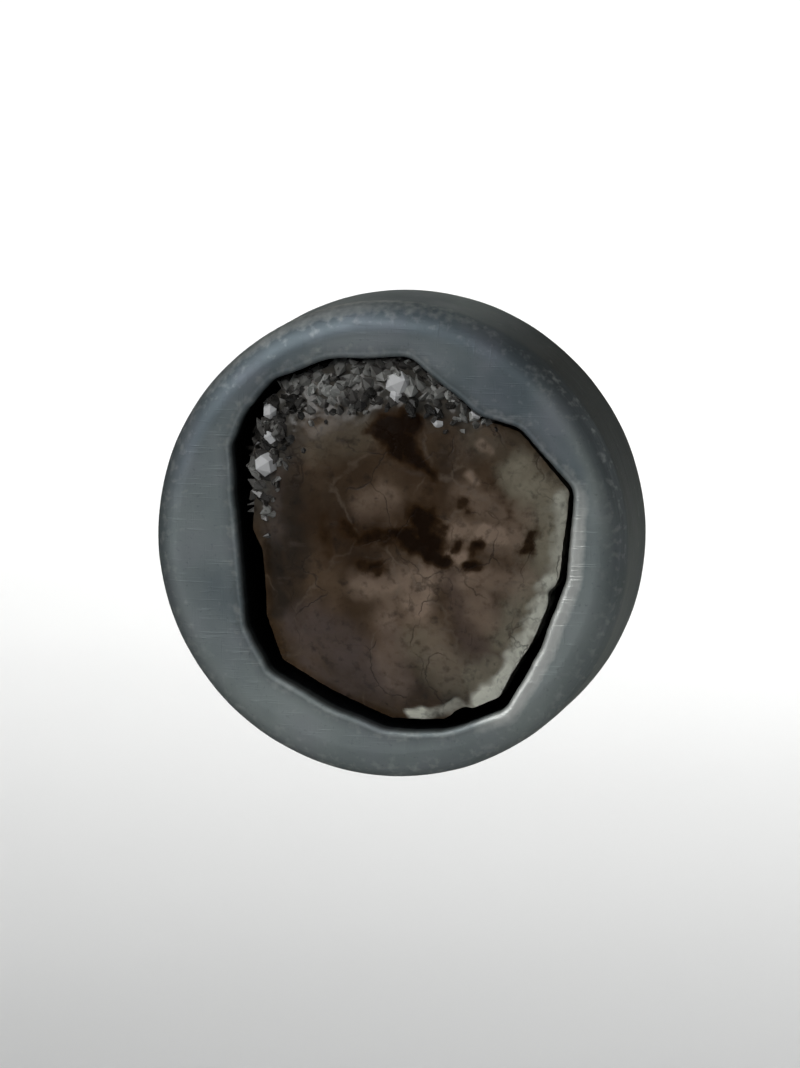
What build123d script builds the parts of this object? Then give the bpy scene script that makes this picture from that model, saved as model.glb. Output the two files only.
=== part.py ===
from build123d import *
from collections import namedtuple
from math import cos, hypot, radians, sin
import os

# Stud earring: a round disc of darkened silver with an irregular stone let into its face.
# The origin is the centre of the disc's back, which lies against the lobe.
# -Y is the front, +Y runs along the post and +Z is up as the stud is worn. Sizes are millimetres.

# Disc of the setting
disc_diameter = 9.0
disc_thickness = 2.4
front_edge_round = 0.55
back_edge_round = 0.15

# Pocket for the stone, cut into the disc's face
narrowest_band = 0.68  # silver between the disc's edge and the opening's furthest corner
pocket_floor = 0.6  # silver left behind the stone
pocket_corner_round = 0.5
mouth_bevel = 0.06

# Stone
stone_side_gap = 0.25  # between the stone and the pocket's wall
stone_bed_gap = 0.03  # between the stone and the pocket's floor
rim_recess = 0.3  # from the disc's face in to the stone's rim
table_rise = 0.1  # from the disc's face out to the stone's table

# Ear post, soldered to the disc's back
post_diameter = 0.8
post_length = 10.0
post_tip_round = 0.25
solder_round = 0.25
notch_width = 0.7
notch_depth = 0.1
notch_from_tip = 2.9

# Ear nut, pushed onto the post behind the lobe
lobe_gap = 4.5  # between the disc's back and the nut's plate
nut_post_gap = 0.03
nut_strip = 0.28
nut_scroll_diameter = 1.9
nut_scroll_width = 2.2
nut_scroll_turn = 290.0  # degrees that each scroll is rolled through

# Corners of the opening, counter-clockwise as seen from the front.
# The direction is in degrees from +X, and the reach is a share of the furthest corner's.
Corner = namedtuple("Corner", "direction reach")
OPENING_CORNERS = [
    Corner(17, 0.976),
    Corner(42, 0.880),
    Corner(55, 0.785),
    Corner(83, 0.925),
    Corner(108, 0.945),
    Corner(126, 0.975),
    Corner(138, 0.950),
    Corner(150, 0.905),
    Corner(211, 0.825),
    Corner(228, 0.880),
    Corner(250, 0.866),
    Corner(270, 0.929),
    Corner(287, 0.966),
    Corner(306, 1.000),
    Corner(327, 0.912),
    Corner(350, 0.902),
]

# Levels of the stone. The outline is a share of the stone's full outline, and the height is a
# share of the way from its bed to its rim, or for the crown from its rim to its table.
Level = namedtuple("Level", "outline height")
STONE_BODY = [Level(0.90, 0.0), Level(1.00, 0.35), Level(1.00, 1.0)]
STONE_CROWN = [Level(0.86, 0.60), Level(0.60, 1.0)]

# Places that follow from the sizes
disc_radius = disc_diameter / 2
post_radius = post_diameter / 2
opening_reach = disc_radius - narrowest_band
pocket_depth = disc_thickness - pocket_floor
face_plane = Plane.XZ.offset(disc_thickness)


def opening_outline():
    """The corners of the opening, from the front, as points in the plane of the disc's face."""
    outline = []
    for corner in OPENING_CORNERS:
        angle = radians(corner.direction)
        reach = corner.reach * opening_reach
        outline.append(Vector(reach * cos(angle), reach * sin(angle)))
    return outline


def inset(outline, distance):
    """The same outline with every side moved inwards by the distance."""
    moved = []
    for place, corner in enumerate(outline):
        side_in = (corner - outline[place - 1]).normalized()
        side_out = (outline[(place + 1) % len(outline)] - corner).normalized()
        inward = side_in.rotate(Axis.Z, 90) + side_out.rotate(Axis.Z, 90)
        lean = 1 + side_in.dot(side_out)
        moved.append(corner + inward * (distance / lean))
    return moved


def disc_with_post():
    """The turned form: the disc with its rounded edges, the solder and the post with its tip."""
    half_profile = [
        (0, -disc_thickness),
        (disc_radius, -disc_thickness),
        (disc_radius, 0),
        (post_radius, 0),
        (post_radius, post_length),
        (0, post_length),
    ]
    corner_rounds = [front_edge_round, back_edge_round, solder_round, post_tip_round]
    with BuildPart() as turned:
        with BuildSketch(Plane.XY):
            with BuildLine():
                outside = FilletPolyline(*half_profile, radius=corner_rounds)
                Line(outside @ 1, outside @ 0)
            make_face()
        revolve(axis=Axis.Y)
    return turned.part


def notch():
    """The ring that a rolled notch takes out of the post, where a nut clicks into place."""
    section_radius = (notch_width**2 / 4 + notch_depth**2) / (2 * notch_depth)
    ring_radius = post_radius - notch_depth + section_radius
    place = Plane.XZ.offset(notch_from_tip - post_length)
    return place * Torus(ring_radius, section_radius)


def pocket():
    """The space cut for the stone, wider at its mouth by the small bevel."""
    with BuildPart() as space:
        with BuildSketch(face_plane) as mouth:
            Polygon(*opening_outline(), align=None)
            fillet(mouth.vertices(), pocket_corner_round)
        extrude(amount=-pocket_depth)
        with BuildSketch(face_plane):
            add(mouth.sketch_local)
            offset(amount=mouth_bevel)
        extrude(amount=-mouth_bevel, taper=45)
    return space.part


def setting():
    """The disc, its pocket and its post, soldered into one piece."""
    return disc_with_post() - notch() - pocket()


def stone():
    """The slice of stone: a flat bed, an upright rim, two rows of crown facets and a table."""
    outline = inset(opening_outline(), stone_side_gap)
    bed = pocket_floor + stone_bed_gap
    rim = disc_thickness - rim_recess
    table = disc_thickness + table_rise
    rows = [(level.outline, bed + level.height * (rim - bed)) for level in STONE_BODY]
    rows += [(level.outline, rim + level.height * (table - rim)) for level in STONE_CROWN]
    rings = [[Vector(p.X * share, -height, p.Y * share) for p in outline] for share, height in rows]
    facets = [Face(Wire.make_polygon(rings[0])), Face(Wire.make_polygon(rings[-1]))]
    for lower, upper in zip(rings, rings[1:]):
        for place in range(len(outline)):
            step = (place + 1) % len(outline)
            corners = [lower[place], lower[step], upper[step], upper[place]]
            facets.append(Face(Wire.make_polygon(corners)))
    return Solid(Shell(facets))


def ear_nut():
    """A plate on the post with a strip rolled into a scroll on each side, both in one piece."""
    outer = nut_scroll_diameter / 2
    inner = outer - nut_strip
    side = post_radius + nut_post_gap + outer
    plate_radius = hypot(side, nut_scroll_width / 2)
    with BuildPart() as nut:
        with BuildSketch(Plane.XZ.offset(-lobe_gap)):
            Circle(plate_radius)
            Rectangle(2 * side, 2 * plate_radius, mode=Mode.INTERSECT)
        extrude(amount=-nut_strip)
        with BuildSketch(Plane.XY):
            with BuildLine():
                centre = (side, lobe_gap + outer)
                outside = CenterArc(centre, outer, -90, nut_scroll_turn)
                inside = CenterArc(centre, inner, -90, nut_scroll_turn)
                Line(outside @ 0, inside @ 0)
                Line(outside @ 1, inside @ 1)
            make_face()
            mirror(about=Plane.YZ)
        extrude(amount=nut_scroll_width / 2, both=True)
        with Locations(Plane.XZ.offset(-lobe_gap)):
            Cylinder(post_radius + nut_post_gap, 2 * nut_strip, mode=Mode.SUBTRACT)
    return nut.part


NODES = {"setting": setting, "stone": stone, "ear_nut": ear_nut}

os.makedirs("parts", exist_ok=True)
for name, make in NODES.items():
    export_step(make(), f"parts/{name}.step")
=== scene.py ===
# %% [markdown]
# # A stud earring: darkened silver with a raw smoky stone
#
# The earring is a disc of silver nine millimetres across, darkened to a blue-grey.
# An irregular opening is cut into its face, and a slice of smoky brown stone lies in the pocket,
# with a crust of tiny crystals along its upper rim. Behind, a straight post carries a small
# rolled nut.
#
# The shapes are close to the measured solids, which this script loads first. Each one is built
# again as a finer mesh, because a close view needs rounder edges, hand-made unevenness and
# finishes that follow the surface.

# %% Load the measured solids
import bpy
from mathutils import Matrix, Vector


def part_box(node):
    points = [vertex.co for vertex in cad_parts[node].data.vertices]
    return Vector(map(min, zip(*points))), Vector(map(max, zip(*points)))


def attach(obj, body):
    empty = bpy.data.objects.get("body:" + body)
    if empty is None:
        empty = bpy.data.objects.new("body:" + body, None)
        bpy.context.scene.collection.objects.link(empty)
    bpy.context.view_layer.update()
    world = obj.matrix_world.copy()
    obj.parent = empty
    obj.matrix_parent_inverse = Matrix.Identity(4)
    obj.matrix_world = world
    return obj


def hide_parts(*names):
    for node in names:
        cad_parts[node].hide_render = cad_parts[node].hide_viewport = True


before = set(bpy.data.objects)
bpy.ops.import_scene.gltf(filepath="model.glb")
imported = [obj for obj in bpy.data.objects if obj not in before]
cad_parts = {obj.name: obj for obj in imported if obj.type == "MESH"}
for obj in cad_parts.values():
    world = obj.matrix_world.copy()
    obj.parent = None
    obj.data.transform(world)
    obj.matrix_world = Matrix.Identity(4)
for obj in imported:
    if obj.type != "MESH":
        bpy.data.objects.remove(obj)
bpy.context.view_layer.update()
print("solids:", sorted(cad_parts))

# %% Modules, and the scale of the work
import math

import bmesh
import bpy
import numpy as np
from mathutils import Matrix, Vector, noise

MM = 0.001
setting_low, setting_high = [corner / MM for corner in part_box("setting")]
stone_low, stone_high = [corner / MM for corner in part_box("stone")]
nut_low, nut_high = [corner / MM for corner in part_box("ear_nut")]

disc_radius = setting_high.x
face = setting_low.y
post_end = setting_high.y
print(f"disc {2 * disc_radius:.2f} mm across, face at {face:.2f} mm, post to {post_end:.2f} mm")

# %% [markdown]
# ## Small tools
#
# The two main pieces are made from rings of points, like a pot on a wheel. One ring joined to
# the next gives a band of four-sided faces, and a ring of a single point closes an end. Because
# the rings need not be round, one tool makes the disc with its crooked opening and the stone.
# Keeping to rings gives clean meshes whose points can carry values, such as how worn the metal
# is at that place, and the materials read those values later.

# %% Skin a stack of rings
def skin(rings):
    """Points and faces of a closed skin over rings that each hold one point, n or k times n."""
    starts = np.cumsum([0] + [len(ring) for ring in rings])
    faces = []
    for a, b, ring, following in zip(starts, starts[1:], rings, rings[1:]):
        n, m = len(ring), len(following)
        if n == 1:
            faces += [(a, b + j, b + (j + 1) % m) for j in range(m)]
        elif m == 1:
            faces += [(a + j, b, a + (j + 1) % n) for j in range(n)]
        else:
            k = n // m
            for j in range(m):
                fine = [a + (k * j + i) % n for i in range(k, 0, -1)]
                faces.append([a + k * j, b + j, b + (j + 1) % m] + fine)
    return np.concatenate(rings), faces


def new_object(name, data):
    """An object that holds the data, linked into the scene."""
    made = bpy.data.objects.new(name, data)
    bpy.context.scene.collection.objects.link(made)
    return made


def make_piece(name, points, faces, values=None):
    """A mesh object from points in millimetres, with one named value per point if given."""
    mesh = bpy.data.meshes.new(name)
    mesh.from_pydata((np.asarray(points) * MM).tolist(), [], faces)
    for label, numbers in (values or {}).items():
        stored = mesh.attributes.new(label, "FLOAT", "POINT")
        stored.data.foreach_set("value", np.asarray(numbers, np.float32))
    mesh.validate()
    mesh.update()
    return new_object(name, mesh)


def smooth(piece, sharp_angle):
    """Smooth shading, with edges kept sharp where the faces turn by more than the angle."""
    piece.data.shade_smooth()
    piece.data.set_sharp_from_angle(angle=math.radians(sharp_angle))


def ease(value, low, high):
    """0 up to low, 1 from high, and an even S between them."""
    share = np.clip((np.asarray(value, float) - low) / (high - low), 0, 1)
    return share * share * (3 - 2 * share)


def round_axis(points):
    """How far each point lies from the post's axis, and in which direction, in radians."""
    return np.hypot(points[:, 0], points[:, 2]), np.arctan2(points[:, 2], points[:, 0])


def bumps(points, per_mm, seed):
    """Soft random values from -1 to 1 at each point, with per_mm waves a millimetre."""
    shift = Vector((seed * 17.3, seed * 5.1, seed * 9.7))
    return np.array([noise.noise(Vector(p) * per_mm + shift) for p in points])


print("tools ready")

# %% [markdown]
# ## The opening
#
# The maker sawed the opening to suit this one stone, so it follows no regular shape. Sixteen
# corners describe it, each as a direction and a reach, and the corners are eased by a small
# round. The stone follows the same corners with a gap all round, so one list serves both.

# %% The outline of the opening and of the stone
OPENING_REACH = 3.82
OPENING_CORNERS = [
    # direction in degrees, reach as a share
    (17, 0.976), (42, 0.880), (55, 0.785), (83, 0.925), (108, 0.945),
    (126, 0.975), (138, 0.950), (150, 0.905), (211, 0.825), (228, 0.880),
    (250, 0.866), (270, 0.929), (287, 0.966), (306, 1.000), (327, 0.912),
    (350, 0.902),
]


def opening_outline():
    """The corners as x and z in millimetres, counter-clockwise from the front."""
    angles = np.radians([direction for direction, _ in OPENING_CORNERS])
    reach = OPENING_REACH * np.array([share for _, share in OPENING_CORNERS])
    return np.stack([reach * np.cos(angles), reach * np.sin(angles)], axis=1)


def sides(outline):
    """The unit direction of the side that reaches each corner and of the one that leaves it."""
    leaving = np.roll(outline, -1, axis=0) - outline
    leaving /= np.linalg.norm(leaving, axis=1, keepdims=True)
    return np.roll(leaving, 1, axis=0), leaving


def inset(outline, distance):
    """The outline with every side moved inwards by the distance."""
    reaching, leaving = sides(outline)
    inward = np.stack([-(reaching + leaving)[:, 1], (reaching + leaving)[:, 0]], axis=1)
    lean = 1 + np.sum(reaching * leaving, axis=1, keepdims=True)
    return outline + inward * distance / lean


def rounded(outline, radius, steps=9):
    """The outline with each corner eased into a short curve of about the radius."""
    reaching, leaving = sides(outline)
    turn = np.arccos(np.clip(np.sum(reaching * leaving, axis=1), -1, 1))
    back = (radius * np.tan(turn / 2))[:, None]
    start, end = outline - reaching * back, outline + leaving * back
    t = np.linspace(0, 1, steps)[None, :, None]
    curve = (1 - t) ** 2 * start[:, None] + 2 * t * (1 - t) * outline[:, None] + t**2 * end[:, None]
    return curve.reshape(-1, 2)


def reach_at(outline, angles, parts=60):
    """How far the outline lies from the axis in each direction, with its sides kept straight."""
    share = np.arange(parts)[None, :, None] / parts
    dense = outline[:, None] * (1 - share) + np.roll(outline, -1, axis=0)[:, None] * share
    dense = dense.reshape(-1, 2)
    directions = np.arctan2(dense[:, 1], dense[:, 0])
    return np.interp(angles, directions, np.hypot(*dense.T), period=2 * np.pi)


print(f"opening of {len(OPENING_CORNERS)} corners, {2 * OPENING_REACH:.1f} mm at its widest")

# %% [markdown]
# ## The silver setting
#
# On the real stud the disc is cast or sawn, its pocket is cut by hand, and the post is soldered
# on behind. So the disc is turned from a profile whose inner part is pushed out to the opening's
# outline. A boolean would cut the same hole, but it leaves long thin faces, and those catch the
# light badly on polished metal.
#
# Four values are stored on the points. `recess` is 1 inside the pocket, where the dark sulphide
# was never rubbed off. The wear value is high on edges that fingers and cloth have polished, and
# round the mouth's right and lower right it also holds a painted highlight. `wall` is painted shade
# on the side and the rounded front edge, and `film` is painted light and shade on the face and
# edge.

# %% Sizes of the setting
DISC_STEPS = 600
POST_STEPS = 100
FRONT_ROUND = 0.55
BACK_ROUND = 0.15
MOUTH_ROUND = 0.09
MOUTH_BAND = 0.24  # width of the band round the mouth, in millimetres
MOUTH_ROWS = [
    # share of the band round the mouth, rubbing and painted highlight, darkness where it isn't
    # rubbed
    (0.2, 1.0, 0.30),
    (0.4, 0.9, 0.20),
    (0.65, 0.5, 0.10),
    (1.0, 0.0, 0.00),
]
RUB_AND_HIGHLIGHT_FROM = 291  # degrees where the mouth's edge starts to be rubbed bright, with a painted highlight
RUB_AND_HIGHLIGHT_FOR = 66  # degrees until that starts to end
EDGE_FROM = math.radians(26)  # how far the front edge has turned where the rows run evenly round
POCKET_FLOOR = -0.6
POCKET_CORNER = 0.5
SAWN_BROAD, SAWN_FINE = 0.020, 0.008  # how far the sawn outline strays
WALL_CHATTER = 0.012  # depth of the cutter's marks
POST_RADIUS = 0.4
TIP_ROUND = 0.25
TIP_INNER = 0.07  # radius of the smallest ring on the tip
SOLDER_ROUND = 0.25
NOTCH_CENTRE = post_end - 2.9
NOTCH_HALF = 0.35
NOTCH_DEPTH = 0.1
BACK_RINGS_END = 2.6  # where the rings of the back change from the disc's steps to the post's
POST_RINGS_START = 2.4
SOLDER_START = 0.75

disc_angles = np.arange(DISC_STEPS) * 2 * np.pi / DISC_STEPS
post_angles = np.arange(POST_STEPS) * 2 * np.pi / POST_STEPS


def ring(radius, y, angles):
    """A ring of points round the post's axis; radius and y may change with the angle."""
    radius = np.broadcast_to(radius, angles.shape)
    y = np.broadcast_to(y, angles.shape)
    return np.stack([radius * np.cos(angles), y, radius * np.sin(angles)], axis=1)


def row(radius, y, angles, recess=0.0, wear_and_highlight=0.0, wall=0.0):
    """A ring of points with the recess, wear and wall values that are stored on it."""
    values = [np.broadcast_to(value, angles.shape) for value in (recess, wear_and_highlight, wall)]
    return ring(radius, y, angles), np.stack(values, axis=1)


def quarter(steps):
    """Angles of a quarter turn for a rounded edge, without its start."""
    return np.linspace(0, np.pi / 2, steps + 1)[1:]


print(f"{DISC_STEPS} steps round the disc and {POST_STEPS} round the post")


# %% The pocket's rows, from the middle of its floor to its mouth
def mouth_reach():
    """How far the sawn opening lies from the axis in each direction of the disc."""
    reach = reach_at(rounded(opening_outline(), POCKET_CORNER), disc_angles)
    edge = ring(reach, 0.0, disc_angles)
    return reach + SAWN_BROAD * bumps(edge, 2.2, 1) + SAWN_FINE * bumps(edge, 7.0, 2)


def rub_and_highlight_share():
    """How far the mouth's edge is rubbed bright and carries a painted highlight: most on the right
    and lower right.
    """
    along = (np.degrees(disc_angles) - RUB_AND_HIGHLIGHT_FROM) % 360
    return 0.12 + 0.88 * ease(along, 0, 24) * (1 - ease(along, RUB_AND_HIGHLIGHT_FOR, RUB_AND_HIGHLIGHT_FOR + 32))


def mouth_round():
    """The radius of the mouth's edge, rounder where rubbing wore it and the highlight is painted.
    """
    return MOUTH_ROUND * (1 + 0.4 * rub_and_highlight_share())


def pocket_rows(mouth):
    """The pocket's floor, its roughly cut wall and the rounded edge of its mouth."""
    rows = [row(0.0, POCKET_FLOOR, np.zeros(1), recess=1.0)]
    rows += [row(mouth * share, POCKET_FLOOR, disc_angles, recess=1.0) for share in (0.5, 0.9, 1.0)]
    wall_end = face + mouth_round()
    for share in np.linspace(0, 1, 12)[1:]:
        y = POCKET_FLOOR + (wall_end - POCKET_FLOOR) * share
        chatter = WALL_CHATTER * (1 - share) * bumps(ring(mouth, y, disc_angles), 3.0, 3)
        rows.append(row(mouth + chatter, y, disc_angles, recess=1 - 0.35 * ease(share, 0.8, 1)))
    # the mouth's rounded edge: rubbing, and on the right and lower right a painted highlight
    for turn in quarter(5):
        out = mouth + mouth_round() * (1 - np.cos(turn))
        y = wall_end - mouth_round() * np.sin(turn)
        rows.append(row(out, y, disc_angles, 0.4 * np.cos(turn), rub_and_highlight_share() * np.sin(turn)))
    return rows


# %% Painted shade on the disc's side, and painted light and shade on its rounded front edge
SIDE_SHADING_AND_WEAR = [
    # direction in degrees, painted shade of the side, painted light and shade of the front edge,
    # rubbing of its outer edge
    (0, 0.75, 0.05, 0.0), (15, 1.00, 0.55, 0.0), (30, 1.15, 0.45, 0.0),
    (48, 1.15, 0.10, 0.0), (62, 0.68, -0.40, 0.0), (76, 0.15, -0.38, 0.1),
    (92, 0.00, -0.62, 0.25), (106, 0.00, -0.75, 0.35), (122, 0.20, -0.38, 0.35),
    (136, 0.40, -0.38, 0.2), (150, 0.56, -0.40, 0.1), (165, 0.56, -0.20, 0.0),
    (178, 0.56, 0.05, 0.0), (200, 0.56, 0.16, 0.0), (228, 0.56, 0.16, 0.0),
    (250, 0.56, 0.00, 0.0), (340, 0.56, 0.00, 0.0),
]


def side_shading_and_wear(directions, column):
    """The painted shade (column 1), painted light and shade of the edge (2) or rubbing (3) in
    directions in degrees.
    """
    rows = np.array(SIDE_SHADING_AND_WEAR)
    return np.interp(directions, rows[:, 0], rows[:, column], period=360)


# painted shade of the side, then the rubbing of the outer front edge
side_shade = side_shading_and_wear(np.degrees(disc_angles), 1)
outer_wear = side_shading_and_wear(np.degrees(disc_angles), 3)
print(f"film on the side: {side_shade.min():.2f} to {side_shade.max():.2f}")


# %% The disc's rows, from the pocket's mouth over the edge to the back
def front_row(radius, dark=0.0, wear_and_highlight=0.0):
    """A row on the disc's front, which is flat at first and then follows the rounded edge."""
    turn = np.arcsin(np.clip((radius - disc_radius + FRONT_ROUND) / FRONT_ROUND, 0, 1))
    y = face + FRONT_ROUND * (1 - np.cos(turn))
    # painted shade that darkens the rounded edge towards the side
    wall = side_shade * ease(turn, 0.1, 1.2)
    wear_and_highlight = wear_and_highlight + 0.1 * np.sin(2 * turn) + outer_wear * ease(turn, 0.6, 1.1)
    return row(radius, y, disc_angles, dark, wear_and_highlight, wall)


def disc_rows(mouth):
    """The face, the rounded edge, the side wall and the back."""
    rows = []
    start = mouth + mouth_round()
    # the band round the mouth: rubbing, and on the right and lower right a painted highlight
    for share, wear_and_highlight, dark in MOUTH_ROWS:
        radius = start + MOUTH_BAND * share
        rows.append(front_row(radius, dark * (1 - rub_and_highlight_share()), wear_and_highlight * rub_and_highlight_share()))
    turns = np.linspace(EDGE_FROM, np.pi / 2, 10)
    edge = disc_radius - FRONT_ROUND * (1 - np.sin(turns))
    for share in np.linspace(0, 1, 20)[1:]:
        rows.append(front_row(start + MOUTH_BAND + (edge[0] - start - MOUTH_BAND) * share))
    rows += [front_row(radius) for radius in edge[1:]]
    # the side, carrying its painted shade
    for share in np.linspace(0, 1, 14)[1:]:
        y = face + FRONT_ROUND + (-BACK_ROUND - face - FRONT_ROUND) * share
        rows.append(row(disc_radius, y, disc_angles, wall=side_shade))
    for turn in quarter(5):
        out = disc_radius - BACK_ROUND * (1 - np.cos(turn))
        y = -BACK_ROUND * (1 - np.sin(turn))
        wall = side_shade * (1 - ease(turn, 0.4, 1.2))
        rows.append(row(out, y, disc_angles, 0.0, 0.5 * np.sin(2 * turn), wall))
    for radius in np.linspace(disc_radius - BACK_ROUND, BACK_RINGS_END, 10)[1:]:
        rows.append(row(radius, 0.0, disc_angles))
    return rows


# %% The post's rows, from the back of the disc to the tip
def post_rows():
    """The solder, the shank, the notch that a nut clicks into, and the rounded tip."""
    backs = np.linspace(POST_RINGS_START, SOLDER_START, 8)
    rows = [row(radius, 0.0, post_angles) for radius in backs]
    for turn in np.linspace(0, np.pi / 2, 9):
        bead = SOLDER_ROUND * (1 + 0.25 * bumps(ring(1.0, turn, post_angles), 1.6, 5))
        out = POST_RADIUS + bead * (1 - np.sin(turn))
        rows.append(row(out, bead * (1 - np.cos(turn)), post_angles, recess=0.5 * np.cos(turn)))
    for y in np.linspace(0.4, NOTCH_CENTRE - NOTCH_HALF, 18):
        rows.append(row(POST_RADIUS, y, post_angles, wear_and_highlight=0.5 * ease(y, 3.5, 5.0)))
    for share in np.linspace(-1, 1, 13):
        depth = NOTCH_DEPTH * (1 - share**2)
        y = NOTCH_CENTRE + NOTCH_HALF * share
        rows.append(row(POST_RADIUS - depth, y, post_angles, 0.5 * (1 - share**2), 0.3))
    for y in np.linspace(NOTCH_CENTRE + NOTCH_HALF, post_end - TIP_ROUND, 8)[1:]:
        rows.append(row(POST_RADIUS, y, post_angles, wear_and_highlight=0.6))
    for turn in quarter(8)[:-1]:
        out = POST_RADIUS - TIP_ROUND * (1 - np.cos(turn))
        rows.append(row(out, post_end - TIP_ROUND * (1 - np.sin(turn)), post_angles, wear_and_highlight=0.8))
    for radius in (POST_RADIUS - TIP_ROUND, TIP_INNER):
        rows.append(row(radius, post_end, post_angles, wear_and_highlight=0.8))
    rows.append(row(0.0, post_end, np.zeros(1), wear_and_highlight=0.8))
    return rows


# %% Join them into one soldered piece
PAINTED_SHADING_PATCHES = [
    # x, z, radius, change of tone: painted light above 0, painted shade below 0
    (2.9, 2.6, 1.6, -0.32), (-3.0, 3.0, 1.4, -0.26), (0.2, 3.9, 1.2, -0.12),
    (2.9, -2.9, 1.8, 0.36), (0.0, -4.0, 1.8, 0.18), (4.0, -0.3, 1.2, 0.08),
    (-2.7, -2.9, 1.6, 0.18), (-4.0, 0.0, 1.5, 0.08),
]
EDGE_RING = disc_radius - 0.6 * FRONT_ROUND  # where the painted light and shade on the front edge are strongest
EDGE_RING_HALF = 0.16
FILED_OFF, FILED_BROAD, FILED_FINE = 0.012, 0.010, 0.003  # what filing took, and how unevenly


def hand_made(points):
    """The disc's points with the faint unevenness that filing and polishing leave."""
    spread, _ = round_axis(points)
    lift = FILED_OFF + FILED_BROAD * bumps(points, 0.9, 7) + FILED_FINE * bumps(points, 2.6, 8)
    outward = points - np.array([0.0, face / 2, 0.0])
    outward /= np.linalg.norm(outward, axis=1, keepdims=True)
    return points - outward * (lift * ease(spread, 0.9, 1.6))[:, None]


def painted_shading(points):
    """Painted light (above 0) and painted shade (below 0) on the face and on its rounded front
    edge.
    """
    tone = np.zeros(len(points))
    for x, z, radius, change in PAINTED_SHADING_PATCHES:
        away = np.hypot(points[:, 0] - x, points[:, 2] - z) / radius
        tone += change * np.exp(-away**2)
    spread, directions = round_axis(points)
    away = (spread - EDGE_RING) / EDGE_RING_HALF
    in_front = points[:, 1] < face + FRONT_ROUND
    return tone + side_shading_and_wear(np.degrees(directions), 2) * np.exp(-away**2) * in_front


def make_setting():
    """The disc, its pocket and its post as one mesh that stores recess, wear, wall and film."""
    mouth = mouth_reach()
    rows = pocket_rows(mouth) + disc_rows(mouth) + post_rows()
    points, faces = skin([points for points, _ in rows])
    stored_values = np.concatenate([values for _, values in rows])
    values = dict(zip(("recess", "wear_and_highlight", "wall"), stored_values.T))
    # the film value is painted light and shade on the face and its front edge
    values["film"] = painted_shading(points)
    in_pocket = (values["recess"] > 0.9)[:, None]
    points = np.where(in_pocket, points, hand_made(points))
    piece = make_piece("silver_setting", points, faces, values)
    smooth(piece, 40)
    return piece


silver_setting = make_setting()
print(f"setting: {len(silver_setting.data.polygons)} faces")

# %% [markdown]
# ## The stone
#
# The stone is a slice of a rough crystal. Its top was ground nearly flat, its sides are broken
# steeply away, and along its upper edge the natural crust was left. It is skinned from rings
# too: outwards over the table, down the broken rim and in under the bed. The flat facets of the
# solid are kept as the main form, and chips, hollows and a coarse upper rim are pushed into it.
#
# What the eye notices most are marks inside the stone: brown cracks that cross it, cloudy
# patches, and a paler rim at the lower right, which is painted light where light would come
# through. Along the right rim the grey-green is partly a painted halo round it, and `shade` is
# painted shade where the broken left side falls away, besides a few darker patches. A table places
# them by kind, and each point of the mesh stores how strongly it is marked, which the material
# turns into colour. `gloom` and `lit` paint shade and light onto the crust's crystals, making them
# darker or paler, and `notch` breaks a chip out of the rim.

# %% Sizes of the stone
STONE_STEPS = 500
SIDE_GAP = 0.25
table = stone_low.y
bed = stone_high.y
rim = face + 0.3
TABLE_REACH = 0.52
ROUGH_FROM = 44  # degrees where the crusted rim starts
ROUGH_TO = 186
CRUST_THIN = 0.22  # how much narrower the crust is where it starts
CRUST_LIFT = 0.09
CRUST_PITS = 0.14  # how deep the pits in the crust are
NOTCH_CUT = 0.16  # how far a notch goes into the rim
CRACK_SINK = 0.014
HOLLOW_BROAD, HOLLOW_FINE = 0.018, 0.006
CHIP_BROAD, CHIP_FINE = 0.035, 0.03
CROWN_END = 1.35  # share of the reach at which the table's fall would level out

RIM_SHIFT = [
    # direction in degrees, millimetres outwards
    (0, 0.09), (25, 0.12), (52, 0.17), (92, 0.17), (108, 0.12),
    (130, 0.04), (142, -0.13), (150, -0.15), (160, -0.08), (177, 0.03),
    (186, -0.12), (204, -0.13), (214, -0.10), (228, 0.00), (250, 0.02),
    (280, 0.07), (300, 0.03), (312, -0.01), (335, 0.05),
]

stone_angles = np.arange(STONE_STEPS) * 2 * np.pi / STONE_STEPS
stone_outline = rounded(inset(opening_outline(), SIDE_GAP), 0.16)
shift_directions, shifts = np.array(RIM_SHIFT).T
shift = np.interp(np.degrees(stone_angles), shift_directions, shifts, period=360)
stone_reach = reach_at(stone_outline, stone_angles) + shift
print(f"stone from {table:.2f} to {bed:.2f} mm, {stone_reach.max():.2f} mm at its furthest")


# %% The stone's surface
def crust_share(points):
    """1 on the crusted rim along the top and upper left, 0 on the polished rest."""
    spread, directions = round_axis(points)
    angle = np.degrees(directions) % 360
    along = ease(angle, ROUGH_FROM, ROUGH_FROM + 16) * (1 - ease(angle, ROUGH_TO - 30, ROUGH_TO))
    share = spread / reach_at(stone_outline, np.radians(angle))
    share = share + 0.07 * bumps(points, 1.3, 21) + 0.04 * bumps(points, 3.5, 22)
    share = share - CRUST_THIN * (1 - ease(angle, 50, 85))
    return along * ease(share, 0.66, 0.88)


def stone_rings():
    """Rings over the table, down the rim and under the bed."""
    rings = [ring(0.0, table, np.zeros(1))]
    for share in np.concatenate([np.linspace(0.02, 0.6, 34), np.linspace(0.615, 1.0, 36)]):
        fall = ease(share, TABLE_REACH, CROWN_END) / ease(1.0, TABLE_REACH, CROWN_END)
        rings.append(ring(stone_reach * share, table + (rim - table) * fall, stone_angles))
    for share in np.linspace(0, 1, 14)[1:]:
        taper = 1 - 0.10 * ease(share, 0.6, 1.0)
        rings.append(ring(stone_reach * taper, rim + (bed - rim) * share, stone_angles))
    for share in (0.6, 0.3):
        rings.append(ring(stone_reach * share, bed, stone_angles))
    rings.append(ring(0.0, bed, np.zeros(1)))
    return rings


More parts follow.
